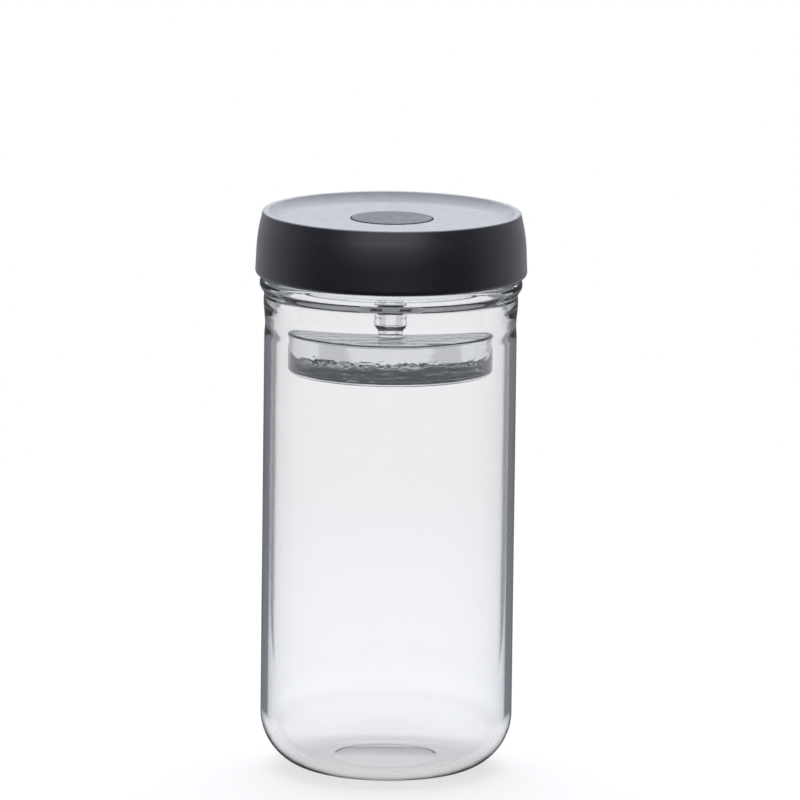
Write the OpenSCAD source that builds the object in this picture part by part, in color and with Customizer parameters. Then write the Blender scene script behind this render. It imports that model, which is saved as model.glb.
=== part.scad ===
// Fermentation jar: a clear glass jar, a screw lid with a vent button, and a glass weight on the lid's grip.
// Millimetres, +Z up. The origin is on the jar's axis, on the surface that it stands on.

/* [Glass body] */
// Outer diameter of the straight wall
jar_d = 101.4; // [94:0.2:110]
// Thickness of the wall
glass_wall = 2.8; // [2.2:0.1:3.6]
// Thickness of the bottom
floor_t = 3.2; // [2.6:0.1:5]
// Height at which the straight wall ends and the shoulder starts
wall_top = 176.7; // [130:0.1:240]
// Outer radius of the rounded base edge
base_round = 23.3; // [18:0.1:26]
// Width of the flat ring that the jar stands on
foot_w = 6; // [3:0.5:10]
// How far the middle of the bottom is pushed up
punt_rise = 1.4; // [0.6:0.1:2.4]
// How far the shoulder ring stands out from the straight wall
ring_swell = 0.4; // [0.2:0.05:1.2]
// Height of the shoulder, from the straight wall's end to the bead's widest point
shoulder_h = 21.3; // [19:0.1:26]
// How far the bead stands out from the straight wall
bead_swell = 2.05; // [1.6:0.05:3]
// Radius of the bead's upper edge
bead_round = 2.6; // [2:0.1:3.2]

/* [Glass neck] */
// How far the neck stands in from the straight wall
neck_inset = 2.3; // [1.6:0.1:3]
// Thickness of the neck
neck_wall = 3.0; // [2.6:0.1:3.6]
// Height of the neck above the bead
neck_h = 17.5; // [17.2:0.1:22]
// Radius of the rim's rounded edges
rim_round = 1.2; // [0.6:0.1:1.3]

/* [Thread] */
// Rise of the thread in one turn
thread_lead = 6; // [5.8:0.1:6.4]
// How far the glass thread stands out from the neck
thread_depth = 2.0; // [1.6:0.1:2.2]
// Width of the glass thread at its root
thread_w = 4.0; // [3.4:0.1:4.2]
// Turns of the glass thread
thread_turns = 1.25; // [1:0.05:1.35]
// Height of the glass thread's start above the bead
thread_start = 4.4; // [4.2:0.1:5]
// How far the lid's thread stands in from its bore
lid_thread_depth = 2.4; // [2:0.1:2.6]
// Width of the lid's thread at its root
lid_thread_w = 2.8; // [2.2:0.1:3]
// Turns of the lid's thread
lid_thread_turns = 1.1; // [0.8:0.05:1.2]
// Height of the lid thread's start above the skirt's lower edge
lid_thread_start = 2.2; // [1.8:0.1:3]
// Axial distance from the glass thread's middle down to the lid thread's middle
thread_drop = 2.8; // [2.7:0.05:3]

/* [Screw lid] */
// Radial clearance between the glass thread and the lid's bore
lid_bore_gap = 1.1; // [0.8:0.1:1.6]
// Thickness of the skirt at its lower edge
skirt_wall = 3.1; // [2.8:0.1:4]
// Clearance between the skirt's lower edge and the bead
skirt_gap = 0.5; // [0.3:0.1:1]
// Radius of the skirt's lower outer edge
skirt_round = 2.0; // [1:0.1:2.2]
// Draft of the skirt's lower part, in degrees
skirt_draft = 2.5; // [1:0.1:4]
// Taper of the skirt's upper part, in degrees
crown_taper = 10.7; // [6:0.1:12]
// Height of the tapered upper part
crown_h = 10.7; // [9:0.1:13]
// Length of the soft blend between the two parts
crown_blend = 9.5; // [4:0.1:14]
// Width of the rim round the recess
lid_rim_w = 3.0; // [2.4:0.1:4]
// Radius of the rim's outer top edge
lid_rim_round = 0.9; // [0.4:0.1:1.1]
// Depth of the recess
recess_depth = 2.9; // [2.4:0.1:5]
// Width of the hollow slope from the rim down to the recess's floor
recess_blend = 7.0; // [5:0.1:9]
// Thickness of the top
deck_t = 2.2; // [1.8:0.1:3]
// How far the snap rib stands in from the lid's bore, under the inner disc
snap_rib = 0.6; // [0.4:0.1:0.7]

/* [Vent button] */
// Diameter of the button
button_d = 32.7; // [28:0.1:36]
// Gap round the button
button_gap = 0.4; // [0.3:0.05:0.6]
// How far the button stands proud of the top
button_proud = 0.3; // [0.2:0.1:1.2]
// Thickness of the button and of its skirt
button_t = 1.8; // [1.4:0.1:2]
// Height of the button's skirt below its top plate
button_skirt = 4.8; // [3.6:0.1:5]
// Travel of the button
button_travel = 2.0; // [1:0.1:2.2]
// Wall and floor thickness of the button's well
well_wall = 1.6; // [1.2:0.1:2]
// Depth of the well below the top
well_depth = 9.2; // [9.2:0.1:10]

/* [Spring] */
// Middle radius of the spring's turns
spring_r = 7.4; // [6.8:0.1:9]
// Diameter of the spring's wire
spring_wire = 0.9; // [0.6:0.1:1.2]
// Turns of the spring
spring_turns = 4.5; // [3:0.5:4.5]
// Gap between the spring's ends and what they press on
spring_gap = 0.15; // [0.1:0.05:0.3]

/* [Inner disc and seal] */
// Thickness of the seal between the disc and the rim
seal_t = 1.6; // [1.2:0.1:2]
// Gap between the rim and the relaxed seal
seal_gap = 0.2; // [0.15:0.05:0.3]
// Thickness of the seal's lip inside the neck
seal_lip_t = 1.5; // [1:0.1:1.6]
// Depth of the seal's lip inside the neck
seal_lip_h = 4.0; // [2:0.1:6]
// Thickness of the inner disc
disc_t = 1.7; // [1.4:0.1:2.2]
// Clearance between moving faces
run_gap = 0.3; // [0.25:0.05:0.4]
// Clearance between the well's floor and the inner disc
well_gap = 1.6; // [1:0.1:2.4]
// Radius of the disc's lower edge
disc_round = 1.6; // [1:0.1:1.7]

/* [Valve] */
// Diameter of the valve's stem
stem_d = 4.8; // [4:0.1:5.4]
// Radial clearance of the stem in its guide
stem_fit = 0.1; // [0.04:0.01:0.1]
// Diameter of the pin at the stem's top
pin_d = 3.2; // [2.6:0.1:3.6]
// Length of the pin inside the button's boss
pin_l = 2.2; // [1.6:0.1:2.4]
// Diameter of the hole that the valve closes
seat_hole_d = 9.0; // [8:0.1:10]
// Height of the seat's ring
seat_h = 1.2; // [0.8:0.1:1.6]
// Diameter of the valve's plate
plate_d = 18.0; // [17:0.1:19]
// Thickness of the valve's plate
plate_t = 1.4; // [1:0.1:1.8]
// Thickness of the valve's gasket
gasket_t = 1.4; // [1:0.1:1.8]
// Radial width of the valve's gasket
gasket_w = 3.0; // [2.4:0.1:3.2]
// Thickness of the flap over the vent holes
flap_t = 0.6; // [0.4:0.1:0.8]
// Diameter of each vent hole
vent_d = 1.6; // [1.2:0.1:1.8]

/* [Cage and grip] */
// Inner diameter of the valve's cage
cage_d = 22.0; // [20.5:0.1:24]
// Thickness of the cage
cage_wall = 1.6; // [1.2:0.1:2]
// Height inside the cage
cage_h = 8.9; // [8.5:0.1:10]
// Width of each window in the cage
window_w = 6.0; // [4:0.1:7]
// Height of each window
window_h = 4.0; // [3:0.1:4.6]
// Outer diameter of the grip
grip_d = 10.2; // [9.6:0.1:11]
// Thickness of the grip's wall
grip_wall = 1.6; // [1.2:0.1:1.8]
// Length of the grip below the cage
grip_l = 7.2; // [6:0.1:9]

/* [Weight] */
// Radial clearance between the weight and the neck
weight_gap = 4.2; // [3:0.1:6]
// Thickness of the weight
weight_t = 16.4; // [12:0.1:20]
// Radius of the weight's edges
weight_round = 1.5; // [0.8:0.1:2.4]
// Height of the knob from the weight to the grip
knob_h = 13.2; // [12:0.1:16]
// Diameter of the knob's head
knob_d = 13.0; // [12:0.1:15]
// Diameter of the knob's waist
knob_waist_d = 9.8; // [8.6:0.1:10.6]
// Radial clearance of the knob's tip in the grip
tip_fit = 0.05; // [0.02:0.01:0.1]

/* [Hidden] */
$fn = 144;

// Glass body
jar_r = jar_d / 2;
inner_r = jar_r - glass_wall;
foot_out = jar_r - base_round;
foot_in = foot_out - foot_w;
inner_round = base_round - glass_wall;
ring_r = jar_r + ring_swell;
bead_r = jar_r + bead_swell;
bead_z = wall_top + shoulder_h;
bead_top = bead_z + bead_round;
waist_dip = 0.25;
waist_z = wall_top + 4;
ring_z = bead_z - 7;
groove_z = bead_z - 4.7;
groove_dip = 0.15;

// Glass neck
neck_r = jar_r - neck_inset;
bore_r = neck_r - neck_wall;
rim_z = bead_top + neck_h;
neck_foot = 0.8;

// Thread
glass_crest_r = neck_r + thread_depth;
lid_bore_r = glass_crest_r + lid_bore_gap;
thread_root = 0.6;
thread_step = 7.5;
thread_fade = 22.5;
thread_z = bead_top + thread_start;

// Stack of the lid from the glass rim up
seal_z = rim_z + seal_gap;
flange_z = seal_z + seal_t;
deck_z = flange_z + disc_t + run_gap;
deck_top = deck_z + deck_t;
lid_top = deck_top + recess_depth;
skirt_z = bead_top + skirt_gap;
lid_r = lid_bore_r + skirt_wall;
lid_thread_z = skirt_z + lid_thread_start;
lid_thread_from = 360 * (lid_thread_z - thread_z + thread_drop) / thread_lead;
knee_z = lid_top - crown_h;
knee_r = lid_r - (knee_z - skirt_z - skirt_round) * tan(skirt_draft);
crown_r = knee_r - crown_h * tan(crown_taper);
recess_r = crown_r - lid_rim_w;
rib_z = flange_z - 0.4;

// Button and its well
button_r = button_d / 2;
button_top = deck_top + button_proud;
button_under = button_top - button_t;
boss_r = pin_d / 2 + 4;
boss_z = button_under - 2.8;
well_r = button_r + button_gap;
well_floor = deck_top - well_depth;
well_bottom = well_floor - well_wall;
guide_r = stem_d / 2 + stem_fit;
guide_h = 2;

// Inner disc
flange_r = lid_bore_r - run_gap;
lip_r = bore_r - run_gap;
spigot_r = lip_r - seal_lip_t;
disc_top = well_bottom - well_gap;
disc_under = disc_top - disc_t;
seat_z = disc_under - seat_h;
seat_r = plate_d / 2 - gasket_w / 2;
seat_w = 1.6;
collar_w = 1.7;
collar_h = 2.5;

// Valve
valve_gap = 0.1;
gasket_top = seat_z - valve_gap;
gasket_z = gasket_top - gasket_t;
plate_z = gasket_z - plate_t;
gasket_out = plate_d / 2 - 0.2;
gasket_in = gasket_out - gasket_w;
flap_r = gasket_in - 0.4;
vent_ring_r = (stem_d / 2 + flap_r) / 2;

// Cage and grip
cage_in = cage_d / 2;
cage_out = cage_in + cage_wall;
cage_floor = disc_under - cage_h;
cage_z = cage_floor - cage_wall;
grip_r = grip_d / 2;
grip_bore = grip_r - grip_wall;
grip_z = cage_z - grip_l;
grip_plug = grip_r - 1.1;
grip_head = 1.4;
grip_web = 1.2;

// Weight
weight_r = bore_r - weight_gap;
weight_top = grip_z - run_gap - knob_h;
weight_z = weight_top - weight_t;
knob_r = knob_d / 2;
knob_waist = knob_waist_d / 2;
tip_r = grip_bore - tip_fit;
tip_top = grip_z + grip_l - grip_web - 0.7;

glass_colour = [0.86, 0.93, 0.93, 0.35];
black_plastic = [0.10, 0.10, 0.12];
milky_plastic = [0.90, 0.91, 0.90];
button_grey = [0.16, 0.17, 0.19];
silicone_grey = [0.30, 0.31, 0.33];
steel = [0.75, 0.76, 0.78];

// Points of an arc about a centre, from one angle to another
function arc(cx, cy, r, from, to, steps = 10) =
  [for (i = [0:steps]) let (a = from + (to - from) * i / steps) [cx + r * cos(a), cy + r * sin(a)]];

// Points of a soft S from one radius and height to the next, without its first point
function ease(r0, z0, r1, z1, steps = 6) =
  [for (i = [1:steps]) let (t = i / steps) [r0 + (r1 - r0) * (1 - cos(180 * t)) / 2, z0 + (z1 - z0) * t]];

// Points of a curve with one control point
function bend(p0, p1, p2, steps = 8) =
  [for (i = [0:steps]) let (t = i / steps) p0 * pow(1 - t, 2) + p1 * 2 * t * (1 - t) + p2 * pow(t, 2)];

// Points of a hollow slope, from its steep outer start, which is left out, inwards and down to level
function hollow(r, z, width, height, steps = 10) =
  [for (i = [1:steps]) let (t = i / steps) [r - width * t, z - height * (1 - pow(1 - t, 2))]];

// Points of the pushed-up bottom, from the axis out, at a base height
function punt(z, r, steps = 6) =
  [for (i = [0:steps]) let (t = i / steps) [r * t, z + punt_rise * (1 - t * t)]];

// How full the thread is at a share of its length, given the share that fades at each end
function fullness(t, fade) = let (u = min(1, min(t, 1 - t) / fade)) u * u * (3 - 2 * u);

// A helical ridge: the section's x is its reach from the root radius, and side is 1 outwards or -1 inwards
module ridge(section, root_r, side, turns, z, start) {
  steps = round(turns * 360 / thread_step);
  count = len(section);
  fade = thread_fade / (turns * 360);
  rings = [
    for (i = [0:steps])
      let (t = i / steps, a = start + turns * 360 * t, f = 0.12 + 0.88 * fullness(t, fade))
        for (p = section)
          let (r = root_r + side * p[0] * f)
            [r * cos(a), r * sin(a), z + thread_lead * turns * t + side * p[1]]
  ];
  walls = [
    for (i = [0:steps - 1])
      for (k = [0:count - 1])
        let (m = (k + 1) % count)
          [i * count + k, i * count + m, (i + 1) * count + m, (i + 1) * count + k]
  ];
  first_end = [[for (k = [count - 1:-1:0]) k]];
  last_end = [[for (k = [0:count - 1]) steps * count + k]];
  polyhedron(rings, concat(walls, first_end, last_end), convexity = 8);
}

// The glass jar: pressed body and blown wall, with a rounded thread
module glass_jar() {
  outer = concat(
    punt(0, foot_in),
    arc(foot_out, base_round, base_round, -90, 0, 14),
    [[jar_r, wall_top]],
    ease(jar_r, wall_top, jar_r - waist_dip, waist_z, 3),
    ease(jar_r - waist_dip, waist_z, ring_r, ring_z, 6),
    ease(ring_r, ring_z, ring_r - groove_dip, groove_z, 3),
    ease(ring_r - groove_dip, groove_z, bead_r, bead_z - 0.6, 8),
    arc(bead_r - bead_round, bead_z, bead_round, 0, 90, 8),
    arc(neck_r + neck_foot, bead_top + neck_foot, neck_foot, 270, 180, 4),
    arc(neck_r - rim_round, rim_z - rim_round, rim_round, 0, 90, 6)
  );
  inner = concat(
    arc(bore_r + rim_round, rim_z - rim_round, rim_round, 90, 180, 6),
    [[bore_r, bead_z]],
    ease(bore_r, bead_z, inner_r, wall_top + 7, 10),
    arc(foot_out, floor_t + inner_round, inner_round, 0, -90, 14),
    [for (i = [6:-1:0]) punt(floor_t, foot_in)[i]]
  );
  half = thread_w / 2;
  reach = thread_root + thread_depth;
  crest = [for (i = [0:6]) let (a = -90 + 30 * i) [reach * pow(cos(a), 0.8), half * sin(a)]];
  color(glass_colour) union() {
    rotate_extrude() polygon(concat(outer, inner));
    ridge(crest, neck_r - thread_root, 1, thread_turns, thread_z, 0);
  }
}

// The weight: a thick disc with rounded edges and a pull knob, whose tip goes up into the grip
module glass_weight() {
  head_z = grip_z - run_gap;
  color(glass_colour) rotate_extrude() polygon(concat(
    [[0, weight_z]],
    arc(weight_r - weight_round, weight_z + weight_round, weight_round, -90, 0, 6),
    arc(weight_r - weight_round, weight_top - weight_round, weight_round, 0, 90, 6),
    arc(knob_waist + 2, weight_top + 2, 2, 270, 180, 6),
    [[knob_waist, head_z - 7.4]],
    ease(knob_waist, head_z - 7.4, knob_r, head_z - 3.2, 6),
    arc(knob_r - 1, head_z - 1, 1, 0, 90, 5),
    [[tip_r, head_z]],
    arc(tip_r - 1, tip_top - 1, 1, 0, 90, 5),
    [[0, tip_top]]
  ));
}

// The screw cap: tapered skirt, recessed top, well for the button, and the thread inside
module lid_shell() {
  draft_top = knee_z - crown_blend / 2;
  taper_foot = knee_z + crown_blend / 2;
  draft_r = knee_r + crown_blend / 2 * tan(skirt_draft);
  taper_r = knee_r - crown_blend / 2 * tan(crown_taper);
  inner_edge = 0.8;
  tilt = atan(2 * recess_depth / recess_blend);
  slope_r = recess_r + inner_edge * (1 - sin(tilt));
  slope_z = lid_top - inner_edge * (1 - cos(tilt));
  outline = concat(
    [[lid_bore_r, skirt_z + 0.5], [lid_bore_r + 0.5, skirt_z]],
    arc(lid_r - skirt_round, skirt_z + skirt_round, skirt_round, -90, 0, 8),
    bend([draft_r, draft_top], [knee_r, knee_z], [taper_r, taper_foot]),
    arc(crown_r - lid_rim_round, lid_top - lid_rim_round, lid_rim_round, crown_taper, 90, 6),
    arc(recess_r + inner_edge, lid_top - inner_edge, inner_edge, 90, 90 + tilt, 4),
    hollow(slope_r, slope_z, recess_blend, slope_z - deck_top),
    [[well_r, deck_top], [well_r, well_floor]],
    [[guide_r + 1.7, well_floor], [guide_r + 1.7, well_floor + guide_h]],
    [[guide_r, well_floor + guide_h], [guide_r, well_bottom]],
    [[well_r + well_wall, well_bottom], [well_r + well_wall, deck_z]],
    [[lid_bore_r, deck_z], [lid_bore_r, rib_z]],
    arc(lid_bore_r, rib_z - snap_rib, snap_rib, 90, 270, 8)
  );
  half = lid_thread_w / 2;
  reach = thread_root + lid_thread_depth;
  flank = lid_thread_w * 0.22;
  nose = 0.5;
  section = [
    [0, -half], [reach - nose, -flank - 0.3], [reach, -flank],
    [reach, flank], [reach - nose, flank + 0.3], [0, half]
  ];
  color(black_plastic) difference() {
    union() {
      rotate_extrude() polygon(outline);
      ridge(section, lid_bore_r + thread_root, -1, lid_thread_turns, lid_thread_z, lid_thread_from);
    }
    for (i = [0:2])
      rotate(120 * i) translate([well_r - 3, 0, well_bottom - 1]) cylinder(d = 2, h = well_wall + 2, $fn = 24);
  }
}

// The button: a shallow cup with a boss that holds the valve's stem
module vent_button() {
  edge = 0.5;
  skirt_z0 = button_under - button_skirt;
  color(button_grey) rotate_extrude() polygon(concat(
    [[0, boss_z + pin_l + 0.1], [pin_d / 2 + 0.02, boss_z + pin_l + 0.1], [pin_d / 2 + 0.02, boss_z]],
    [[boss_r, boss_z], [boss_r, button_under], [button_r - button_t, button_under]],
    [[button_r - button_t, skirt_z0], [button_r, skirt_z0]],
    arc(button_r - edge, button_top - edge, edge, 0, 90, 5),
    [[0, button_top]]
  ));
}

// The return spring: one wire wound from the well's floor up to the button
module button_spring() {
  low = well_floor + spring_gap + spring_wire / 2;
  high = button_under - spring_gap - spring_wire / 2;
  steps = spring_turns * 18;
  sides = 6;
  rings = [
    for (i = [0:steps])
      let (t = i / steps, a = 360 * spring_turns * t, z = low + (high - low) * t)
        for (k = [0:sides - 1])
          let (b = 360 * k / sides, r = spring_r + spring_wire / 2 * cos(b))
            [r * cos(a), r * sin(a), z + spring_wire / 2 * sin(b)]
  ];
  walls = [
    for (i = [0:steps - 1])
      for (k = [0:sides - 1])
        let (m = (k + 1) % sides) [i * sides + k, i * sides + m, (i + 1) * sides + m, (i + 1) * sides + k]
  ];
  first_end = [[for (k = [sides - 1:-1:0]) k]];
  last_end = [[for (k = [0:sides - 1]) steps * sides + k]];
  color(steel) polyhedron(rings, concat(walls, first_end, last_end), convexity = 10);
}

// The valve's stem with its plate, which has vent holes, and the pin that the button holds
module valve_stem() {
  color(black_plastic) difference() {
    union() {
      translate([0, 0, plate_z]) cylinder(d = plate_d, h = plate_t);
      translate([0, 0, plate_z]) cylinder(d = stem_d, h = boss_z - plate_z);
      translate([0, 0, plate_z]) cylinder(d = pin_d, h = boss_z - plate_z + pin_l);
    }
    for (i = [0:5])
      rotate(60 * i) translate([vent_ring_r, 0, plate_z - 1]) cylinder(d = vent_d, h = plate_t + 2, $fn = 24);
  }
}

// The silicone ring on the plate
module valve_gasket() {
  color(silicone_grey) translate([0, 0, gasket_z]) rotate_extrude() polygon(concat(
    [[gasket_in, 0], [gasket_out, 0]],
    arc(gasket_out - 0.4, gasket_t - 0.4, 0.4, 0, 90, 4),
    arc(gasket_in + 0.4, gasket_t - 0.4, 0.4, 90, 180, 4)
  ));
}

// The thin flap that lies over the vent holes
module vent_flap() {
  color(silicone_grey) translate([0, 0, gasket_z]) difference() {
    cylinder(r = flap_r, h = flap_t);
    translate([0, 0, -1]) cylinder(r = stem_d / 2 + 0.05, h = flap_t + 2);
  }
}

// The inner disc: flange over the rim, spigot inside the neck, floor with the valve's seat and the cage's collar
module inner_disc() {
  hole_r = seat_hole_d / 2;
  color(milky_plastic) rotate_extrude() polygon(concat(
    [[hole_r, disc_top], [hole_r, disc_under], [seat_r - seat_w / 2, disc_under]],
    [[seat_r - seat_w / 2, seat_z], [seat_r + seat_w / 2, seat_z], [seat_r + seat_w / 2, disc_under]],
    [[cage_out, disc_under], [cage_out, disc_under - collar_h]],
    [[cage_out + collar_w, disc_under - collar_h], [cage_out + collar_w, disc_under]],
    arc(spigot_r - disc_round, disc_under + disc_round, disc_round, -90, 0, 6),
    [[spigot_r, flange_z], [flange_r, flange_z], [flange_r, flange_z + disc_t]],
    [[spigot_r - disc_t, flange_z + disc_t], [spigot_r - disc_t, disc_top]]
  ));
}

// The seal: a flat ring on the rim with a lip inside the neck
module lid_seal() {
  seal_out = neck_r + 0.9;
  lip_z = seal_z - seal_lip_h;
  color(silicone_grey) rotate_extrude() polygon(concat(
    [[spigot_r, lip_z], [lip_r - 0.7, lip_z], [lip_r, lip_z + 0.9], [lip_r, seal_z]],
    arc(seal_out - 0.4, seal_z + 0.4, 0.4, -90, 0, 4),
    [[seal_out, flange_z], [spigot_r, flange_z]]
  ));
}

// The windowed cup under the valve
module valve_cage() {
  window_z = cage_floor + 1;
  color(milky_plastic) difference() {
    rotate_extrude() polygon(concat(
      [[grip_plug, cage_floor], [grip_plug, cage_z]],
      arc(cage_out - 1.2, cage_z + 1.2, 1.2, -90, 0, 5),
      [[cage_out, disc_under], [cage_in, disc_under], [cage_in, cage_floor]]
    ));
    for (i = [0:5])
      rotate(60 * i) translate([cage_in - 1, -window_w / 2, window_z]) cube([cage_wall + 2, window_w, window_h]);
  }
}

// The silicone grip: a plug held in the cage's floor, with a blind bore for the knob's tip
module weight_grip() {
  bore_top = grip_z + grip_l - grip_web;
  head_z = cage_floor + grip_head;
  color(silicone_grey) rotate_extrude() polygon(concat(
    [[0, bore_top], [grip_bore, bore_top], [grip_bore, grip_z + 0.6], [grip_bore + 0.6, grip_z]],
    arc(grip_r - 0.6, grip_z + 0.6, 0.6, -90, 0, 4),
    [[grip_r, cage_z], [grip_plug, cage_z], [grip_plug, cage_floor], [grip_r + 0.1, cage_floor]],
    [[grip_plug - 0.4, head_z], [0, head_z]]
  ));
}

glass_jar();
glass_weight();
lid_shell();
vent_button();
button_spring();
valve_stem();
valve_gasket();
vent_flap();
inner_disc();
lid_seal();
valve_cage();
weight_grip();
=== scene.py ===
import math

import bmesh
import bpy
from mathutils import Matrix, Vector


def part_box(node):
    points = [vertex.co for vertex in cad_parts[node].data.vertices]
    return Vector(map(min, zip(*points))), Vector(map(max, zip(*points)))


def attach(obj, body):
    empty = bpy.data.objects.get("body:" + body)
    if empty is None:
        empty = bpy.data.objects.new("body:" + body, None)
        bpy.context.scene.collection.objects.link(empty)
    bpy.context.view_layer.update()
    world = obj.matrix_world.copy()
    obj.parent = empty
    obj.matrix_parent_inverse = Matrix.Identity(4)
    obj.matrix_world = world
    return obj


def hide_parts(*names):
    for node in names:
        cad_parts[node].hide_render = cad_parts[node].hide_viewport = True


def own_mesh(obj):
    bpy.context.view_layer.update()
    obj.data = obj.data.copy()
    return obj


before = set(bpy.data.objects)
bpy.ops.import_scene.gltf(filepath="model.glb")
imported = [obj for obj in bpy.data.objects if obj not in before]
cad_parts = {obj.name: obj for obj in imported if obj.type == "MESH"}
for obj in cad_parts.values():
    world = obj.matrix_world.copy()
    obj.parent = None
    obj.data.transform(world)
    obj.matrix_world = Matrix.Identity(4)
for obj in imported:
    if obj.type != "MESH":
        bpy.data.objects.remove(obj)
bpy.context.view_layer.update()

# Outlines are in millimetres, as (radius, height), and MM turns them to metres. Angles are in degrees.
MM = 0.001

# Glass body. The waist and the end of the bore's slope are measured up from the top of the straight
# wall, and the ring, the groove and the bead's foot down from the middle of the bead.
JAR_R = 50.7
WALL = 2.8
FLOOR = 3.2
WALL_TOP = 176.7
BASE_ROUND = 23.3
FOOT_WIDTH = 6.0
PUNT_RISE = 1.4
WAIST_DIP = 0.25
WAIST_UP = 4.0
RING_SWELL = 0.4
RING_DOWN = 7.0
GROOVE_DIP = 0.15
GROOVE_DOWN = 4.7
BEAD_SWELL = 2.05
BEAD_ROUND = 2.6
BEAD_FOOT_DOWN = 0.6
SHOULDER = 21.3
BORE_SLOPE_UP = 7.0
NECK_INSET = 2.3
NECK_WALL = 3.0
NECK_FOOT = 0.8
RIM_ROUND = 1.2

# Threads. The crown and the flank shape their sections, THREAD_FADE is the angle over which each end
# runs out, and the cap's thread runs THREAD_DROP under the glass's.
LEAD = 6.0
GLASS_THREAD_DEPTH = 2.0
GLASS_THREAD_WIDTH = 4.0
GLASS_THREAD_CROWN = 0.8
GLASS_THREAD_TURNS = 1.25
GLASS_THREAD_START = 4.4
GLASS_THREAD_CLEAR = 1.0
CAP_THREAD_DEPTH = 2.4
CAP_THREAD_WIDTH = 2.8
CAP_THREAD_FLANK = 0.35
CAP_THREAD_TURNS = 1.1
CAP_THREAD_START = 2.2
THREAD_DROP = 2.8
THREAD_FADE = 22.5

# Cap. Its side leans in by SKIRT_DRAFT under the knee and by CROWN_TAPER over it.
SKIRT_WALL = 3.1
SKIRT_ROUND = 2.0
SKIRT_CHAMFER = 0.5
SKIRT_DRAFT = 2.5
CROWN_TAPER = 10.7
CROWN_H = 10.7
CROWN_BLEND = 9.5
RIM_WIDTH = 3.0
RIM_EDGE = 0.9
INNER_EDGE = 0.8
RECESS_DEPTH = 2.9
RECESS_BLEND = 7.0
DECK = 2.2
SNAP_RIB = 0.6
SNAP_RIB_DROP = 2.4
WELL_WALL = 1.6
WELL_DEPTH = 9.2
WELL_EDGE = 0.25
GUIDE_R = 2.5
GUIDE_WALL = 1.7
GUIDE_H = 2.0
VENT_HOLES = 3
VENT_HOLE_IN = 3.0
VENT_HOLE_R = 1.0

# Button and its spring, whose end turns are closed up by a share
BUTTON_R = 16.35
BUTTON_GAP = 0.4
BUTTON_T = 1.8
BUTTON_EDGE = 0.5
BOSS_R = 5.6
BOSS_DROP = 2.8
PIN_BORE_R = 1.62
PIN_BORE_H = 2.3
SPRING_R = 7.4
SPRING_WIRE = 0.9
SPRING_TURNS = 4.5
SPRING_CLOSING = 0.45

# Weight. Its knob swells between two heights, which are measured down from the knob's head.
WEIGHT_T = 16.4
WEIGHT_ROUND = 1.5
KNOB_H = 13.2
KNOB_R = 6.5
KNOB_WAIST = 4.9
KNOB_FOOT = 2.0
KNOB_EDGE = 1.0
KNOB_SWELL_FROM = 7.4
KNOB_SWELL_TO = 3.2
TIP_R = 3.45

# How finely the meshes are cut, and how near counts as the same place
JAR_SIDES = 288
WEIGHT_SIDES = 240
CAP_SIDES = 240
BUTTON_SIDES = 192
HOLE_SIDES = 24
WIRE_SIDES = 14
WIRE_STEPS_A_TURN = 60
PUNT_STEPS = 10
LONG_STRETCH = 12.0
SHORT_STRETCH = 4.0
END_MARGIN = 0.4
THREAD_STEP = 0.3
SHARP_ANGLE = 35.0
NEAR = 0.01


def low(node):
    """Lowest height of a node, in millimetres."""
    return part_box(node)[0].z / MM


def high(node):
    """Highest height of a node, in millimetres."""
    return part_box(node)[1].z / MM


def reach(node):
    """Largest radius of a round node, in millimetres."""
    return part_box(node)[1].x / MM


def arc(cx, cy, radius, start, end, steps=16):
    """Points of an arc about a centre, from one angle to another."""
    angles = [math.radians(start + (end - start) * i / steps) for i in range(steps + 1)]
    return [(cx + radius * math.cos(a), cy + radius * math.sin(a)) for a in angles]


def ease(r0, z0, r1, z1, steps=16):
    """Points of a soft S between two points, without the first."""
    shares = [i / steps for i in range(1, steps + 1)]
    return [(r0 + (r1 - r0) * (1 - math.cos(math.pi * t)) / 2, z0 + (z1 - z0) * t) for t in shares]


def bend(a, b, c, steps=24):
    """Points of a curve from a to c that is drawn towards b."""
    points = []
    for i in range(steps + 1):
        t = i / steps
        weights = ((1 - t) ** 2, 2 * t * (1 - t), t * t)
        points.append(tuple(sum(w * p[k] for w, p in zip(weights, (a, b, c))) for k in (0, 1)))
    return points


def hollow(r, z, width, height, steps=20):
    """Points of a hollow slope, from its steep outer start, which is left out, inwards and down to level."""
    shares = [i / steps for i in range(1, steps + 1)]
    return [(r - width * s, z - height * (1 - (1 - s) ** 2)) for s in shares]


def cut(outline, longest):
    """A closed outline with its long straight stretches cut, also near their ends, to keep shading true."""
    points = []
    for (r0, z0), (r1, z1) in zip(outline, outline[1:] + outline[:1]):
        length = math.hypot(r1 - r0, z1 - z0)
        shares = [0.0]
        if length > 3 * END_MARGIN:
            inner = length - 2 * END_MARGIN
            count = max(1, math.ceil(inner / longest))
            shares += [(END_MARGIN + inner * i / count) / length for i in range(count + 1)]
        points += [(r0 + (r1 - r0) * t, z0 + (z1 - z0) * t) for t in shares]
    return points


def cut_for_thread(outline, radius, foot, top):
    """An outline cut as it needs, and finely where a thread runs on it, at a radius from foot to top."""
    points = cut(outline, LONG_STRETCH)
    fine = []
    for (r0, z0), (r1, z1) in zip(points, points[1:] + points[:1]):
        upright = abs(r0 - radius) < NEAR and abs(r1 - radius) < NEAR
        threaded = upright and foot < (z0 + z1) / 2 < top
        count = max(1, math.ceil(abs(z1 - z0) / THREAD_STEP)) if threaded else 1
        fine += [(r0 + (r1 - r0) * i / count, z0 + (z1 - z0) * i / count) for i in range(count)]
    return fine


def put_in_scene(name, data):
    """A new object in the scene, made of a mesh, a camera or a lamp."""
    thing = bpy.data.objects.new(name, data)
    bpy.context.scene.collection.objects.link(thing)
    return thing


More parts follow.
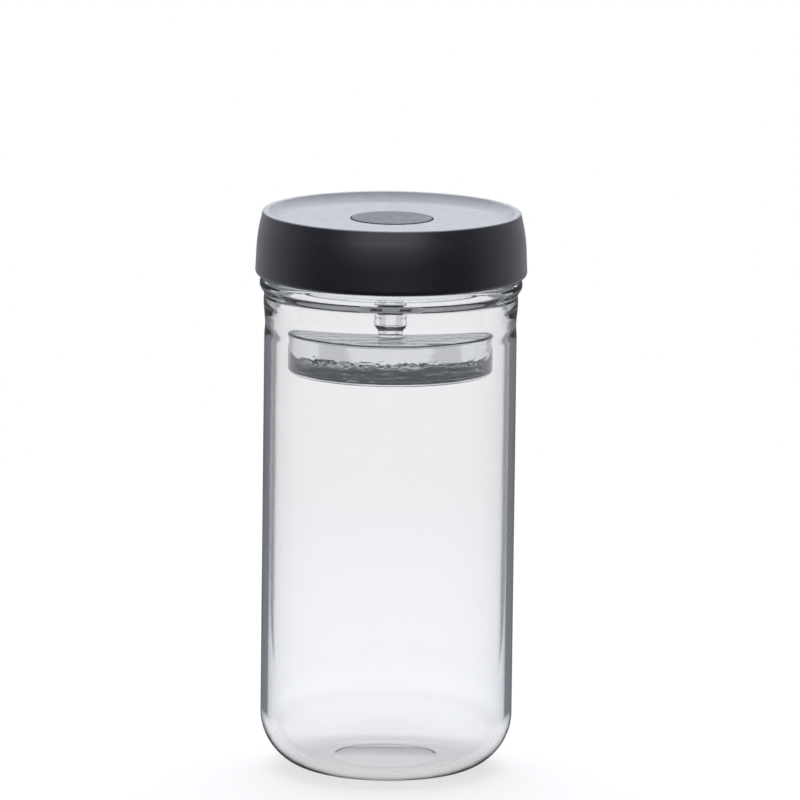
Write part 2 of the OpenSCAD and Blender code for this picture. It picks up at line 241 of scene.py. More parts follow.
def add_piece(name, mesh):
    """A smooth-shaded object from a finished mesh, with its real edges kept sharp."""
    bmesh.ops.recalc_face_normals(mesh, faces=mesh.faces)
    data = bpy.data.meshes.new(name)
    mesh.to_mesh(data)
    mesh.free()
    data.shade_smooth()
    data.set_sharp_from_angle(angle=math.radians(SHARP_ANGLE))
    return put_in_scene(name, data)


def lathe(name, outline, sides, push=None):
    """A solid of revolution from a closed outline. push gives how far a point moves out, from its angle,
    radius and height."""
    mesh = bmesh.new()
    rings = []
    for r, z in outline:
        if r < NEAR:
            rings.append([mesh.verts.new((0, 0, z * MM))])
            continue
        ring = []
        for i in range(sides):
            angle = 2 * math.pi * i / sides
            far = r + (push(math.degrees(angle), r, z) if push else 0)
            ring.append(mesh.verts.new((far * math.cos(angle) * MM, far * math.sin(angle) * MM, z * MM)))
        rings.append(ring)
    for a, b in zip(rings, rings[1:] + rings[:1]):
        if len(a) == 1 and len(b) == 1:
            continue
        for i in range(sides):
            j = (i + 1) % sides
            corners = [a[i % len(a)], a[j % len(a)], b[j % len(b)], b[i % len(b)]]
            mesh.faces.new(list(dict.fromkeys(corners)))
    return add_piece(name, mesh)


def fullness(share, fade):
    """How full a thread is at a share of its length, with a soft run-out at each end."""
    u = max(0.0, min(1.0, min(share, 1 - share) / fade))
    return u * u * (3 - 2 * u)


def helix_offsets(angle, z, start_angle, start_z, turns):
    """For each turn of a thread that passes an angle: the share of its length there, and the height above
    its middle."""
    found = []
    for turn in range(math.ceil(turns) + 1):
        along = (angle - start_angle) % 360 + 360 * turn
        share = along / (360 * turns)
        if share <= 1:
            found.append((share, z - start_z - LEAD * along / 360))
    return found


def jar_glass():
    """The glass jar: pressed bottom and wall, soft shoulder ring, bead, and a neck with a rounded thread."""
    rim_z = high("glass_jar")
    inner_r = JAR_R - WALL
    foot_out = JAR_R - BASE_ROUND
    foot_in = foot_out - FOOT_WIDTH
    inner_round = BASE_ROUND - WALL
    ring_r = JAR_R + RING_SWELL
    bead_r = JAR_R + BEAD_SWELL
    bead_z = WALL_TOP + SHOULDER
    bead_top = bead_z + BEAD_ROUND
    waist = (JAR_R - WAIST_DIP, WALL_TOP + WAIST_UP)
    ring = (ring_r, bead_z - RING_DOWN)
    groove = (ring_r - GROOVE_DIP, bead_z - GROOVE_DOWN)
    neck_r = JAR_R - NECK_INSET
    bore_r = neck_r - NECK_WALL
    punt = []
    for i in range(PUNT_STEPS):
        punt.append((foot_in * i / PUNT_STEPS, PUNT_RISE * (1 - (i / PUNT_STEPS) ** 2)))
    outer = punt + [(foot_in, 0)]
    outer += arc(foot_out, BASE_ROUND, BASE_ROUND, -90, 0, steps=40)
    outer += [(JAR_R, WALL_TOP)]
    outer += ease(JAR_R, WALL_TOP, *waist, steps=6)
    outer += ease(*waist, *ring)
    outer += ease(*ring, *groove, steps=8)
    outer += ease(*groove, bead_r, bead_z - BEAD_FOOT_DOWN, steps=20)
    outer += arc(bead_r - BEAD_ROUND, bead_z, BEAD_ROUND, 0, 90, steps=18)
    outer += arc(neck_r + NECK_FOOT, bead_top + NECK_FOOT, NECK_FOOT, 270, 180, steps=6)
    outer += arc(neck_r - RIM_ROUND, rim_z - RIM_ROUND, RIM_ROUND, 0, 90, steps=10)
    inner = arc(bore_r + RIM_ROUND, rim_z - RIM_ROUND, RIM_ROUND, 90, 180, steps=10)
    inner += [(bore_r, bead_z)]
    inner += ease(bore_r, bead_z, inner_r, WALL_TOP + BORE_SLOPE_UP, steps=24)
    inner += arc(foot_out, FLOOR + inner_round, inner_round, 0, -90, steps=32)
    inner += [(r, z + FLOOR) for r, z in reversed(punt)]
    thread_z = bead_top + GLASS_THREAD_START

    def thread(angle, r, z):
        """The rounded thread on the outside of the neck."""
        if r < neck_r - NEAR or z < bead_top + GLASS_THREAD_CLEAR:
            return 0
        push = 0
        for share, above in helix_offsets(angle, z, 0, thread_z, GLASS_THREAD_TURNS):
            side = abs(above) / (GLASS_THREAD_WIDTH / 2)
            if side < 1:
                crown = (1 - side * side) ** GLASS_THREAD_CROWN
                full = fullness(share, THREAD_FADE / (360 * GLASS_THREAD_TURNS))
                push = max(push, GLASS_THREAD_DEPTH * crown * full)
        return push

    return lathe("jar_glass", cut_for_thread(outer + inner, neck_r, bead_top, rim_z), JAR_SIDES, thread)


def weight_glass():
    """The pressed glass weight: a thick disc with rounded edges, a waisted knob, and a tip for the grip."""
    foot = low("glass_weight")
    top = foot + WEIGHT_T
    head = top + KNOB_H
    tip = high("glass_weight")
    edge = reach("glass_weight") - WEIGHT_ROUND
    swell_z = head - KNOB_SWELL_FROM
    outline = [(0, foot)]
    outline += arc(edge, foot + WEIGHT_ROUND, WEIGHT_ROUND, -90, 0)
    outline += arc(edge, top - WEIGHT_ROUND, WEIGHT_ROUND, 0, 90)
    outline += arc(KNOB_WAIST + KNOB_FOOT, top + KNOB_FOOT, KNOB_FOOT, 270, 180)
    outline += [(KNOB_WAIST, swell_z)]
    outline += ease(KNOB_WAIST, swell_z, KNOB_R, head - KNOB_SWELL_TO)
    outline += arc(KNOB_R - KNOB_EDGE, head - KNOB_EDGE, KNOB_EDGE, 0, 90, steps=10)
    outline += [(TIP_R, head)]
    outline += arc(TIP_R - KNOB_EDGE, tip - KNOB_EDGE, KNOB_EDGE, 0, 90, steps=10)
    outline += [(0, tip)]
    return lathe("weight_glass", cut(outline, SHORT_STRETCH), WEIGHT_SIDES)


def cap_outline():
    """The cap's section, with its tapered skirt, rim, recessed top, the button's well and the snap rib, and
    the places that its thread and its vent holes need."""
    foot = low("lid_shell")
    top = high("lid_shell")
    outer_r = reach("lid_shell")
    bore_r = outer_r - SKIRT_WALL
    deck_top = top - RECESS_DEPTH
    deck_z = deck_top - DECK
    knee_z = top - CROWN_H
    draft = math.tan(math.radians(SKIRT_DRAFT))
    taper = math.tan(math.radians(CROWN_TAPER))
    knee_r = outer_r - (knee_z - foot - SKIRT_ROUND) * draft
    crown_r = knee_r - CROWN_H * taper
    recess_r = crown_r - RIM_WIDTH
    half = CROWN_BLEND / 2
    skirt_end = (knee_r + half * draft, knee_z - half)
    crown_start = (knee_r - half * taper, knee_z + half)
    tilt = math.atan(2 * RECESS_DEPTH / RECESS_BLEND)
    slope_r = recess_r + INNER_EDGE * (1 - math.sin(tilt))
    slope_z = top - INNER_EDGE * (1 - math.cos(tilt))
    well_r = BUTTON_R + BUTTON_GAP
    well_out = well_r + WELL_WALL
    well_floor = deck_top - WELL_DEPTH
    well_under = well_floor - WELL_WALL
    guide_out = GUIDE_R + GUIDE_WALL
    guide_top = well_floor + GUIDE_H
    rib_z = deck_z - SNAP_RIB_DROP
    outline = [(bore_r, foot + SKIRT_CHAMFER), (bore_r + SKIRT_CHAMFER, foot)]
    outline += arc(outer_r - SKIRT_ROUND, foot + SKIRT_ROUND, SKIRT_ROUND, -90, 0)
    outline += bend(skirt_end, (knee_r, knee_z), crown_start)
    outline += arc(crown_r - RIM_EDGE, top - RIM_EDGE, RIM_EDGE, CROWN_TAPER, 90)
    outline += arc(recess_r + INNER_EDGE, top - INNER_EDGE, INNER_EDGE, 90, 90 + math.degrees(tilt), steps=8)
    outline += hollow(slope_r, slope_z, RECESS_BLEND, slope_z - deck_top)
    outline += arc(well_r + WELL_EDGE, deck_top - WELL_EDGE, WELL_EDGE, 90, 180, steps=6)
    outline += [(well_r, well_floor), (guide_out, well_floor), (guide_out, guide_top)]
    outline += [(GUIDE_R, guide_top), (GUIDE_R, well_under), (well_out, well_under)]
    outline += [(well_out, deck_z), (bore_r, deck_z), (bore_r, rib_z)]
    outline += arc(bore_r, rib_z - SNAP_RIB, SNAP_RIB, 90, 270, steps=12)
    return outline, bore_r, foot, rib_z - 2 * SNAP_RIB, well_r, well_floor


def cap_shell():
    """The screw cap: one moulding, smooth outside, with a thread in its skirt and vent holes in its well."""
    outline, bore_r, foot, rib_foot, well_r, well_floor = cap_outline()
    thread_z = foot + CAP_THREAD_START
    glass_thread_z = WALL_TOP + SHOULDER + BEAD_ROUND + GLASS_THREAD_START
    thread_from = 360 * (thread_z - glass_thread_z + THREAD_DROP) / LEAD

    def thread(angle, r, z):
        """The flat-crested thread inside the skirt, which stands in from the bore."""
        if abs(r - bore_r) > NEAR or z > rib_foot:
            return 0
        push = 0
        for share, above in helix_offsets(angle, z, thread_from, thread_z, CAP_THREAD_TURNS):
            side = abs(above) / (CAP_THREAD_WIDTH / 2)
            rise = max(0.0, min(1.0, (1 - side) / CAP_THREAD_FLANK))
            full = fullness(share, THREAD_FADE / (360 * CAP_THREAD_TURNS))
            push = min(push, -CAP_THREAD_DEPTH * rise * full)
        return push

    shell = lathe("cap_shell", cut_for_thread(outline, bore_r, foot, rib_foot), CAP_SIDES, thread)
    middle_z = well_floor - WELL_WALL / 2
    for i in range(VENT_HOLES):
        drill(shell, well_r - VENT_HOLE_IN, 360 / VENT_HOLES * i, middle_z, VENT_HOLE_R, WELL_WALL)
    return shell


def drill(piece, radius, angle, middle_z, hole_r, depth):
    """Cuts an upright round hole through a piece, at a radius and an angle from the axis."""
    bit = lathe("bit", [(0, -depth), (hole_r, -depth), (hole_r, depth), (0, depth)], HOLE_SIDES)
    a = math.radians(angle)
    place = Vector((radius * math.cos(a), radius * math.sin(a), middle_z)) * MM
    bit.data.transform(Matrix.Translation(place))
    cutter = piece.modifiers.new("hole", "BOOLEAN")
    cutter.operation = "DIFFERENCE"
    cutter.solver = "MANIFOLD"
    cutter.object = bit
    seen = bpy.context.evaluated_depsgraph_get()
    piece.data = bpy.data.meshes.new_from_object(piece.evaluated_get(seen))
    piece.modifiers.clear()
    bpy.data.objects.remove(bit)


def button_cap():
    """The vent button: a shallow cup with softened edge and the boss that holds the valve's stem."""
    foot = low("vent_button")
    top = high("vent_button")
    under = top - BUTTON_T
    boss_z = under - BOSS_DROP
    bore_top = boss_z + PIN_BORE_H
    cup_r = BUTTON_R - BUTTON_T
    outline = [(0, bore_top), (PIN_BORE_R, bore_top), (PIN_BORE_R, boss_z), (BOSS_R, boss_z)]
    outline += [(BOSS_R, under), (cup_r, under), (cup_r, foot), (BUTTON_R, foot)]
    outline += arc(BUTTON_R - BUTTON_EDGE, top - BUTTON_EDGE, BUTTON_EDGE, 0, 90, steps=10)
    outline += [(0, top)]
    return lathe("button_cap", cut(outline, SHORT_STRETCH), BUTTON_SIDES)


def spring_coil():
    """The return spring: one round wire with its end turns laid closer, as a compression spring is wound."""
    wire_r = SPRING_WIRE / 2
    foot = low("button_spring") + wire_r
    top = high("button_spring") - wire_r
    mesh = bmesh.new()
    count = round(SPRING_TURNS * WIRE_STEPS_A_TURN)
    rings = []
    for i in range(count + 1):
        share = i / count
        climb = share - math.sin(2 * math.pi * share) / (2 * math.pi) * SPRING_CLOSING
        a = 2 * math.pi * SPRING_TURNS * share
        ring = []
        for k in range(WIRE_SIDES):
            b = 2 * math.pi * k / WIRE_SIDES
            r = SPRING_R + wire_r * math.cos(b)
            z = foot + (top - foot) * climb + wire_r * math.sin(b)
            ring.append(mesh.verts.new((r * math.cos(a) * MM, r * math.sin(a) * MM, z * MM)))
        rings.append(ring)
    for here, after in zip(rings, rings[1:]):
        for k in range(WIRE_SIDES):
            n = (k + 1) % WIRE_SIDES
            mesh.faces.new((here[k], here[n], after[n], after[k]))
    mesh.faces.new(rings[0])
    mesh.faces.new(rings[-1])
    return add_piece("spring_coil", mesh)


def linear(colour):
    """An sRGB hex colour as linear red, green, blue and alpha."""
    parts = [int(colour[i : i + 2], 16) / 255 for i in (1, 3, 5)]
    return [p / 12.92 if p <= 0.04045 else ((p + 0.055) / 1.055) ** 2.4 for p in parts] + [1.0]


def add(tree, kind, settings=None, links=None):
    """Adds a node. A setting is a property or a socket's value. A link comes from a node, which gives its
    first output in use, or from one of a node's outputs."""
    node = tree.nodes.new("ShaderNode" + kind)
    for key, value in (settings or {}).items():
        if isinstance(key, str) and hasattr(node, key):
            setattr(node, key, value)
        else:
            node.inputs[key].default_value = value
    for key, source in (links or {}).items():
        if hasattr(source, "outputs"):
            source = [output for output in source.outputs if output.enabled][0]
        tree.links.new(source, node.inputs[key])
    return node


def new_material(name):
    """An empty node material and its tree."""
    material = bpy.data.materials.new(name)
    material.use_nodes = True
    material.node_tree.nodes.clear()
    return material, material.node_tree


# Most of what a noise gives lies between these two levels.
NOISE_LOW = 0.32
NOISE_HIGH = 0.68


def noise_field(tree, size, stretch=(1, 1, 1), detail=2.0):
    """Noise in patches of about a size in millimetres, drawn out along an axis where stretch is under 1."""
    place = add(tree, "TexCoord").outputs["Object"]
    spaced = add(tree, "Mapping", {"Scale": [s / (size * MM) for s in stretch]}, {"Vector": place})
    return add(tree, "TexNoise", {"Scale": 1.0, "Detail": detail}, {"Vector": spaced})


def wander(tree, size, least, most, detail=2.0):
    """A value that wanders between two levels, in patches of a size in millimetres."""
    return add(tree, "MapRange", {
        "From Min": NOISE_LOW, "From Max": NOISE_HIGH, "To Min": least, "To Max": most,
    }, {"Value": noise_field(tree, size, detail=detail)})


def shades(tree, size, dark, light):
    """A colour that wanders between two hex colours, in patches of a size in millimetres."""
    return add(tree, "Mix", {
        "data_type": "RGBA", "A": linear(dark), "B": linear(light),
    }, {"Factor": wander(tree, size, 0.0, 1.0)})


def relief(tree, size, depth, stretch=(1, 1, 1), detail=2.0, under=None):
    """A skin that rises and falls by a depth, in patches of a size, both in millimetres, over another relief
    if one is given."""
    links = {"Height": noise_field(tree, size, stretch, detail)}
    if under:
        links["Normal"] = under
    return add(tree, "Bump", {"Strength": 1.0, "Distance": depth * MM}, links)


# Glass: how it bends light, its tint, and how fast the tint deepens, a metre
GLASS_IOR = 1.52
GLASS_TINT = "#eaecee"
GLASS_DENSITY = 8.0


def finish_as_glass(tree, colour, skin):
    """Makes a material clear glass of a colour, with a relief for its skin and a faint tint inside."""
    shader = add(tree, "BsdfPrincipled", {
        "Base Color": linear(colour), "Roughness": 0.0, "IOR": GLASS_IOR, "Transmission Weight": 1.0,
    }, {"Normal": skin})
    body = add(tree, "VolumeAbsorption", {"Color": linear(GLASS_TINT), "Density": GLASS_DENSITY})
    add(tree, "OutputMaterial", None, {"Surface": shader, "Volume": body})


def pressed_soda_glass():
    """Clear soda-lime glass, pressed in a mould and fire polished: the walls carry slow, faint waves, and
    the long way through an edge looks a little grey."""
    material, tree = new_material("pressed_soda_glass")
    slow = relief(tree, 26, 0.05, (1, 1, 0.4))
    waves = relief(tree, 7, 0.003, (1, 1, 0.5), under=slow)
    finish_as_glass(tree, "#fcfcfd", waves)
    return material


def chilled_pressed_glass():
    """Thick clear glass pressed in a cold mould: its skin is rippled where it froze first, so it breaks up
    what is seen through its sides."""
    material, tree = new_material("chilled_pressed_glass")
    swell = relief(tree, 9, 0.25, (1, 1, 1.6))
    ripple = relief(tree, 2.6, 0.05, (1, 1, 1.8), 3.0, swell)
    finish_as_glass(tree, "#fbfcfd", ripple)
    return material


# The cap's top face ends at a radius, softly over a blend to either side, starts a margin under the floor of
# the recess, and is rougher by the dulling.
TOP_FACE_R = 51.8
TOP_FACE_BLEND = 0.3
TOP_FACE_MARGIN = 0.5
TOP_DULLING = 0.18


def cap_top(tree):
    """1 on the cap's rim and in its recess and 0 on its side, by place."""
    place = add(tree, "TexCoord").outputs["Object"]
    across = add(tree, "VectorMath", {"operation": "MULTIPLY", 1: (1, 1, 0)}, {0: place})
    radius = add(tree, "VectorMath", {"operation": "LENGTH"}, {0: across})
    within = add(tree, "MapRange", {
        "From Min": (TOP_FACE_R + TOP_FACE_BLEND) * MM, "From Max": (TOP_FACE_R - TOP_FACE_BLEND) * MM,
    }, {"Value": radius})
    foot = (high("lid_shell") - RECESS_DEPTH - TOP_FACE_MARGIN) * MM
    height = add(tree, "SeparateXYZ", None, {0: place}).outputs["Z"]
    above = add(tree, "Math", {"operation": "GREATER_THAN", 1: foot}, {0: height})
    return add(tree, "Math", {"operation": "MULTIPLY"}, {0: within, 1: above})


PLASTIC_IOR = 1.49
SILICONE_IOR = 1.41


def satin_polypropylene():
    """Black polypropylene moulded in a spark-cut tool: satin on the side and duller on top, where the tool
    is cut coarser, with a fine pitted grain, drawn at 0.8 mm to show."""
    material, tree = new_material("satin_polypropylene")
    grain = relief(tree, 0.8, 0.01, detail=1.0)
    flow = relief(tree, 14, 0.004, under=grain)
    shine = wander(tree, 5, 0.37, 0.41, 4.0)
    dulled = add(tree, "Math", {"operation": "MULTIPLY_ADD", 1: TOP_DULLING}, {0: cap_top(tree), 2: shine})
    shader = add(tree, "BsdfPrincipled", {"IOR": PLASTIC_IOR, "Specular IOR Level": 0.5}, {
        "Base Color": shades(tree, 20, "#100e15", "#15131b"),
        "Roughness": dulled,
        "Normal": flow,
    })
    add(tree, "OutputMaterial", None, {"Surface": shader})
    return material


def matt_polypropylene():
    """Black polypropylene with an etched face, as buttons have for grip: its grain, drawn at 0.6 mm to
    show, is deeper than the cap's, and it is duller than the cap's side."""
    material, tree = new_material("matt_polypropylene")
    grain = relief(tree, 0.6, 0.03, detail=1.0)
    shader = add(tree, "BsdfPrincipled", {"IOR": PLASTIC_IOR, "Specular IOR Level": 0.07}, {
        "Base Color": shades(tree, 12, "#16171b", "#1b1c20"),
        "Roughness": wander(tree, 4, 0.5, 0.58, 4.0),
        "Normal": grain,
    })
    add(tree, "OutputMaterial", None, {"Surface": shader})
    return material


def polished_polypropylene():
    """Black polypropylene from a polished tool: shinier than the cap, with faint flow marks."""
    material, tree = new_material("polished_polypropylene")
    flow = relief(tree, 6, 0.02, (1, 1, 0.4))
    shader = add(tree, "BsdfPrincipled", {"IOR": PLASTIC_IOR, "Specular IOR Level": 0.4}, {
        "Base Color": shades(tree, 9, "#1b1b1f", "#232328"),
        "Roughness": wander(tree, 4, 0.2, 0.28),
        "Normal": flow,
    })
    add(tree, "OutputMaterial", None, {"Surface": shader})
    return material


def milky_polypropylene():
    """Uncoloured polypropylene from a polished tool: milky, with light wandering 3 mm deep in it."""
    material, tree = new_material("milky_polypropylene")
    flow = relief(tree, 6, 0.02, (1, 1, 0.4))
    shader = add(tree, "BsdfPrincipled", {
        "IOR": PLASTIC_IOR,
        "Subsurface Weight": 0.5,
        "Subsurface Radius": [3 * MM] * 3,
        "Subsurface Scale": 1.0,
    }, {
        "Base Color": shades(tree, 9, "#eceeed", "#f3f4f3"),
        "Roughness": wander(tree, 4, 0.28, 0.36),
        "Normal": flow,
    })
    add(tree, "OutputMaterial", None, {"Surface": shader})
    return material


def grey_silicone():
    """Translucent grey silicone, moulded: light wanders 2 mm deep in its lips, and its skin is dull, with a
    fine grain, drawn at 0.9 mm to show."""
    material, tree = new_material("grey_silicone")
    skin = relief(tree, 0.9, 0.012)
    shader = add(tree, "BsdfPrincipled", {
        "IOR": SILICONE_IOR,
        "Subsurface Weight": 0.4,
        "Subsurface Radius": [2 * MM] * 3,
        "Subsurface Scale": 1.0,
    }, {
        "Base Color": shades(tree, 6, "#a9abab", "#b6b8b7"),
        "Roughness": wander(tree, 3, 0.42, 0.5),
        "Normal": skin,
    })
    add(tree, "OutputMaterial", None, {"Surface": shader})
    return material


def black_silicone():
    """Black silicone, moulded: dull, with a faint bloom and a fine grain, drawn at 0.7 mm to show."""
    material, tree = new_material("black_silicone")
    skin = relief(tree, 0.7, 0.015)
    shader = add(tree, "BsdfPrincipled", {"IOR": SILICONE_IOR, "Specular IOR Level": 0.4}, {
        "Base Color": shades(tree, 3, "#262422", "#302e2b"),
        "Roughness": wander(tree, 2, 0.5, 0.6),
        "Normal": skin,
    })
    add(tree, "OutputMaterial", None, {"Surface": shader})
    return material


def drawn_steel_wire():
    """Stainless spring wire, drawn and coiled: bright, with fine lines along the wire, drawn at 0.15 mm to
    show."""
    material, tree = new_material("drawn_steel_wire")
    lines = relief(tree, 0.15, 0.004, (0.15, 0.15, 1), 1.0)
    shader = add(tree, "BsdfPrincipled", {"Metallic": 1.0}, {
        "Base Color": shades(tree, 2, "#b3b2ae", "#c9c8c5"),
        "Roughness": wander(tree, 1, 0.22, 0.32),
        "Normal": lines,
    })
    add(tree, "OutputMaterial", None, {"Surface": shader})
    return material


# Camera. Its distance is in metres, and its focal length in pixels of an image this many pixels wide.
DISTANCE = 5.055
ELEVATION = 9.95
ROLL = 0.7
FOCAL_PX = 12577.0
IMAGE_PX = 800
SENSOR_MM = 36.0
VIEW_END = 100.0
AIM = Vector((4.14, 0.0, 150.12)) * MM


def facing(azimuth, elevation, distance, aim):
    """The place and turn of what looks at a point from a distance. Azimuth 0 is the camera's side."""
    a = math.radians(azimuth)
    e = math.radians(elevation)
    out = Vector((math.sin(a) * math.cos(e), -math.cos(a) * math.cos(e), math.sin(e)))
    turn = out.to_track_quat("Z", "Y").to_matrix().to_4x4()
    return Matrix.Translation(aim + out * distance) @ turn


def make_camera():
    """A long lens that looks a little down at the jar, held with a slight roll."""
    data = bpy.data.cameras.new("camera")
    data.sensor_width = SENSOR_MM
    data.lens = FOCAL_PX / IMAGE_PX * SENSOR_MM
    data.clip_end = VIEW_END
    camera = put_in_scene("camera", data)
    roll = Matrix.Rotation(math.radians(ROLL), 4, "Z")
    camera.matrix_world = facing(0, ELEVATION, DISTANCE, AIM) @ roll
    bpy.context.scene.camera = camera


# Studio. The camera sees white all round. Glass sees that white with dark cards in it, which draw its
# edges: each starts CARD_FROM degrees off a view, and from CARD_FULL on it leaves CARD_LEVEL of the white.
# Through the weight only WEIGHT_CARDS of their darkness shows.
CARDS = 8
CARD_FROM = 10.5
CARD_FULL = 14.5
CARD_LEVEL = 0.14
WEIGHT_CARDS = 0.3
WHITE = "#ffffff"

# What gloss sees: a room on the camera's side, which turns to the rear's colour between two shares of
# straight forward, and one colour in a mirror-sharp surface
ROOM = "#64666f"
REAR = "#dde1e8"
ROOM_FROM = -0.5
ROOM_TO = 0.35
SHARP = "#6c7075"

# What glass mirrors inside: a grey in the walls and one in the weight, which end between two shares of
# straight up, and a lighter colour above them
MIRRORED = "#7c8085"
WEIGHT_MIRRORED = "#3c4046"
INSIDE = "#cfd2d5"
GREY_TO = 0.2
GREY_END = 0.29

# A ray through both walls of the jar crosses four faces. Half a step keeps counts apart.
WALL_FACES = 4.0
HALF = 0.5

# The light that everything else gets, and the colour of the lamps
COOL = "#f1f6ff"
SOFT_LEVEL = 0.35


def card_light(tree, parts, nearness=None):
    """What the dark cards leave of the white, by the compass angle off the nearest of eight views: they
    stand midway between the views. On the floor, nearness is an angle that widens the gaps, so that the
    cards frame the jar and don't run under it."""
    angle = add(tree, "Math", {"operation": "ARCTAN2"}, {0: parts.outputs["Y"], 1: parts.outputs["X"]})
    off = add(tree, "Math", {"operation": "PINGPONG", 1: math.pi / CARDS}, {0: angle})
    if nearness:
        off = add(tree, "Math", {"operation": "SUBTRACT"}, {0: off, 1: nearness})
    return add(tree, "MapRange", {
        "interpolation_type": "SMOOTHSTEP",
        "From Min": math.radians(CARD_FROM),
        "From Max": math.radians(CARD_FULL),
        "To Min": 1.0,
        "To Max": CARD_LEVEL,
    }, {"Value": off})


def seen_by_glass(tree, path, cards, dim, inner):
    """What shows through glass: the white with the dark cards, faintly through the thick weight. What the
    inside of a wall or of the weight has mirrored is grey where dim is 1, unless the ray has crossed just
    the walls' faces, and the inner colour elsewhere."""
    faces = path.outputs["Transmission Depth"]
    thick = add(tree, "Math", {"operation": "GREATER_THAN", 1: WALL_FACES + HALF}, {0: faces})
    faint = add(tree, "Math", {"operation": "MULTIPLY", 1: 1 - WEIGHT_CARDS}, {0: thick})
    shown = add(tree, "Mix", {"data_type": "FLOAT", "B": 1.0}, {"Factor": faint, "A": cards})
    straight = add(tree, "VectorMath", {"operation": "SCALE", 0: (1, 1, 1)}, {"Scale": shown})
    outside = add(tree, "Math", {"operation": "COMPARE", 1: WALL_FACES, 2: HALF}, {0: faces})
    inside = add(tree, "Math", {"operation": "SUBTRACT", 0: 1.0}, {1: outside})
    grey = add(tree, "Math", {"operation": "MULTIPLY"}, {0: inside, 1: dim})
    mirrored = add(tree, "Math", {"operation": "GREATER_THAN", 1: HALF}, {0: path.outputs["Glossy Depth"]})
    dark = add(tree, "Mix", {
        "data_type": "RGBA", "A": linear(MIRRORED), "B": linear(WEIGHT_MIRRORED),
    }, {"Factor": thick})
    echo = add(tree, "Mix", {"data_type": "RGBA", "A": linear(inner)}, {"Factor": grey, "B": dark})
    return add(tree, "Mix", {"data_type": "RGBA"}, {"Factor": mirrored, "A": straight, "B": echo})


def seen_by_gloss(tree, path, forward):
    """What shows in gloss: a room that is darker on the camera's side, and one colour where it is sharp."""
    depth = add(tree, "MapRange", {
        "interpolation_type": "SMOOTHSTEP", "From Min": ROOM_FROM, "From Max": ROOM_TO,
    }, {"Value": forward})
    dull = add(tree, "Mix", {
        "data_type": "RGBA", "A": linear(ROOM), "B": linear(REAR),
    }, {"Factor": depth})
    sharp = path.outputs["Is Singular Ray"]
    return add(tree, "Mix", {"data_type": "RGBA", "B": linear(SHARP)}, {"Factor": sharp, "A": dull})


def seen_white(tree, forward, cards, dim, inner):
    """The white that the camera sees, with what gloss and glass see in its place, and whether any of the
    three looks."""
    path = add(tree, "LightPath")
    direct = path.outputs["Is Camera Ray"]
    through = path.outputs["Is Transmission Ray"]
    glass = seen_by_glass(tree, path, cards, dim, inner)
    gloss = seen_by_gloss(tree, path, forward)
    seen = add(tree, "Mix", {"data_type": "RGBA"}, {"Factor": through, "A": gloss, "B": glass})
    white = add(tree, "Mix", {"data_type": "RGBA", "B": linear(WHITE)}, {"Factor": direct, "A": seen})
    bright = add(tree, "Math", {"operation": "MAXIMUM"}, {0: direct, 1: path.outputs["Is Glossy Ray"]})
    looks = add(tree, "Math", {"operation": "MAXIMUM"}, {0: bright, 1: through})
    return white, looks


def make_world():
    """What the camera, gloss and glass see behind the object, and soft light for everything else."""
    world = bpy.data.worlds.new("studio")
    bpy.context.scene.world = world
    world.use_nodes = True
    tree = world.node_tree
    tree.nodes.clear()
    parts = add(tree, "SeparateXYZ", None, {0: add(tree, "TexCoord").outputs["Generated"]})
    dim = add(tree, "MapRange", {
        "From Min": GREY_TO, "From Max": GREY_END, "To Min": 1.0, "To Max": 0.0,
    }, {"Value": parts.outputs["Z"]})
    white, looks = seen_white(tree, parts.outputs["Y"], card_light(tree, parts), dim, INSIDE)
    soft = add(tree, "Background", {"Color": linear(COOL), "Strength": SOFT_LEVEL})
    backdrop = add(tree, "Background", {"Strength": 1.0}, {"Color": white})
    mix = add(tree, "MixShader", None, {0: looks, 1: soft, 2: backdrop})
    add(tree, "OutputWorld", None, {"Surface": mix})


# Floor. It fades to plain white between two distances, the cards keep apart on it, and what glass mirrors of
# it turns grey between two distances.
FLOOR_R = 3000.0
FLOOR_SIDES = 96
FLOOR_GLOW = 0.72
FLOOR_SHADE = 0.1
FADE_FROM = 160.0
FADE_TO = 700.0
CARD_APART = 42.0
GREY_NEAR = 80.0
GREY_FAR = 140.0


def from_middle(tree, near, far):
    """How far out a point of the floor is, from 0 at one distance in millimetres to 1 at another."""
    place = add(tree, "TexCoord").outputs["Object"]
    length = add(tree, "VectorMath", {"operation": "LENGTH"}, {0: place})
    return add(tree, "MapRange", {
        "interpolation_type": "SMOOTHSTEP", "From Min": near * MM, "From Max": far * MM,
    }, {"Value": length})


def floor_paper():
    """Pale paper, which keeps the object's soft shadow close by and is plain white further out."""
    material, tree = new_material("floor_paper")
    place = add(tree, "TexCoord").outputs["Object"]
    parts = add(tree, "SeparateXYZ", None, {0: place})
    outward = add(tree, "VectorMath", {"operation": "NORMALIZE"}, {0: place})
    forward = add(tree, "SeparateXYZ", None, {0: outward}).outputs["Y"]
    length = add(tree, "VectorMath", {"operation": "LENGTH"}, {0: place})
    nearness = add(tree, "Math", {"operation": "DIVIDE", 0: CARD_APART * MM}, {1: length})
    far = from_middle(tree, FADE_FROM, FADE_TO)
    dim = from_middle(tree, GREY_NEAR, GREY_FAR)
    white, looks = seen_white(tree, forward, card_light(tree, parts, nearness), dim, WHITE)
    near_glow = add(tree, "Math", {"operation": "MULTIPLY", 1: FLOOR_GLOW}, {0: looks})
    glow = add(tree, "Emission", None, {"Color": white, "Strength": near_glow})
    shade_colour = add(tree, "VectorMath", {"operation": "SCALE", "Scale": FLOOR_SHADE}, {0: white})
    shade = add(tree, "BsdfDiffuse", None, {"Color": shade_colour})
    near = add(tree, "AddShader", None, {0: glow, 1: shade})
    plain = add(tree, "Emission", None, {"Color": white, "Strength": looks})
    mix = add(tree, "MixShader", None, {0: far, 1: near, 2: plain})
    add(tree, "OutputMaterial", None, {"Surface": mix})
    return material


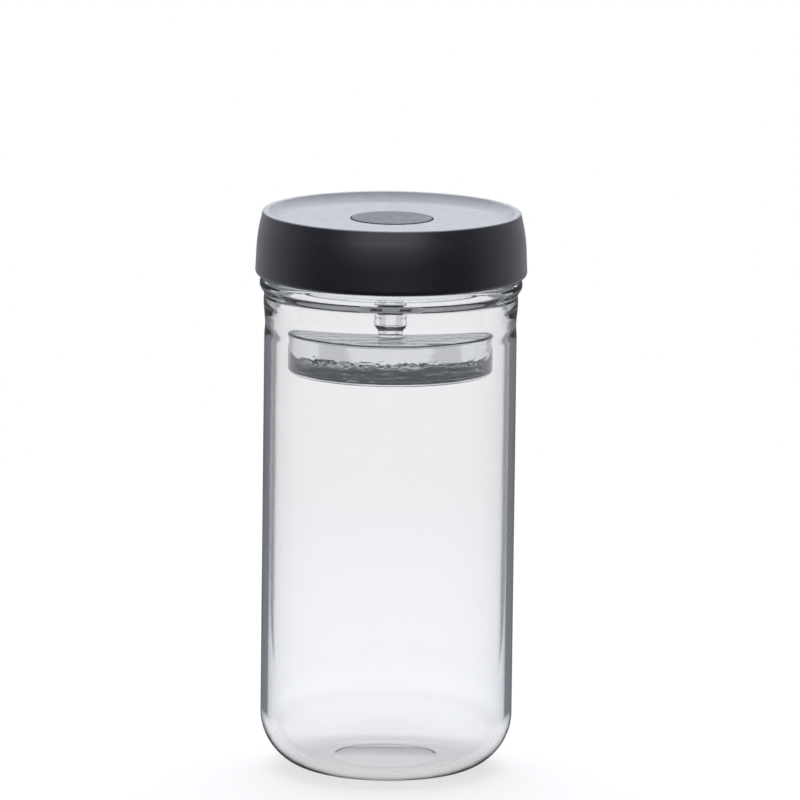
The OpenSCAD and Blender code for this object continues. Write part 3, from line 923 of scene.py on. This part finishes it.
def make_floor():
    """A wide round floor at the height that the jar stands on."""
    mesh = bmesh.new()
    bmesh.ops.create_circle(mesh, cap_ends=True, segments=FLOOR_SIDES, radius=FLOOR_R * MM)
    data = bpy.data.meshes.new("floor")
    mesh.to_mesh(data)
    mesh.free()
    floor = put_in_scene("floor", data)
    paint(floor, floor_paper())


# Lamps. They stand this far from the point that they face, in metres.
LAMP_DISTANCE = 1.3
LAMP_AIM = Vector((0.0, 0.0, 0.12))


def soft_box(name, azimuth, elevation, width, height, level):
    """A soft lamp with a rectangular face, in metres, whose level is how bright that face is."""
    data = bpy.data.lights.new(name, "AREA")
    data.shape = "RECTANGLE"
    data.size = width
    data.size_y = height
    data.color = linear(COOL)[:3]
    data.energy = level * math.pi * width * height
    lamp = put_in_scene(name, data)
    lamp.matrix_world = facing(azimuth, elevation, LAMP_DISTANCE, LAMP_AIM)
    lamp.visible_camera = False
    lamp.visible_transmission = False


def paint(obj, material):
    """Gives an object one material."""
    obj.data.materials.clear()
    obj.data.materials.append(material)


make_camera()
make_world()
make_floor()
soft_box("front_lamp", azimuth=-3, elevation=32, width=1.5, height=0.6, level=3.7)
soft_box("back_lamp", azimuth=180, elevation=42, width=1.8, height=1.2, level=6.0)
soft_box("top_lamp", azimuth=180, elevation=82, width=1.5, height=1.2, level=9.0)

# Each of the scene's own pieces, its body, the node that it stands for, its finish and its slot
for piece, body, node, material, slot in (
    (jar_glass(), "jar", "glass_jar", pressed_soda_glass(), "clear_glass"),
    (weight_glass(), "weight", "glass_weight", chilled_pressed_glass(), "clear_glass"),
    (cap_shell(), "screw_cap", "lid_shell", satin_polypropylene(), "lid_plastic"),
    (button_cap(), "vent", "vent_button", matt_polypropylene(), "button_plastic"),
    (spring_coil(), "screw_cap", "button_spring", drawn_steel_wire(), "spring_steel"),
):
    paint(piece, material)
    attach(piece, body)
    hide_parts(node)
    if node == "button_spring":
        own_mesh(piece)

# Each node that shows as it is, and its finish
milky = milky_polypropylene()
silicone = grey_silicone()
for node, material in (
    ("valve_stem", polished_polypropylene()),
    ("inner_disc", milky),
    ("valve_cage", milky),
    ("valve_gasket", silicone),
    ("vent_flap", silicone),
    ("lid_seal", silicone),
    ("weight_grip", black_silicone()),
):
    paint(bpy.data.objects[node], material)

bpy.context.scene.view_settings.view_transform = "Standard"
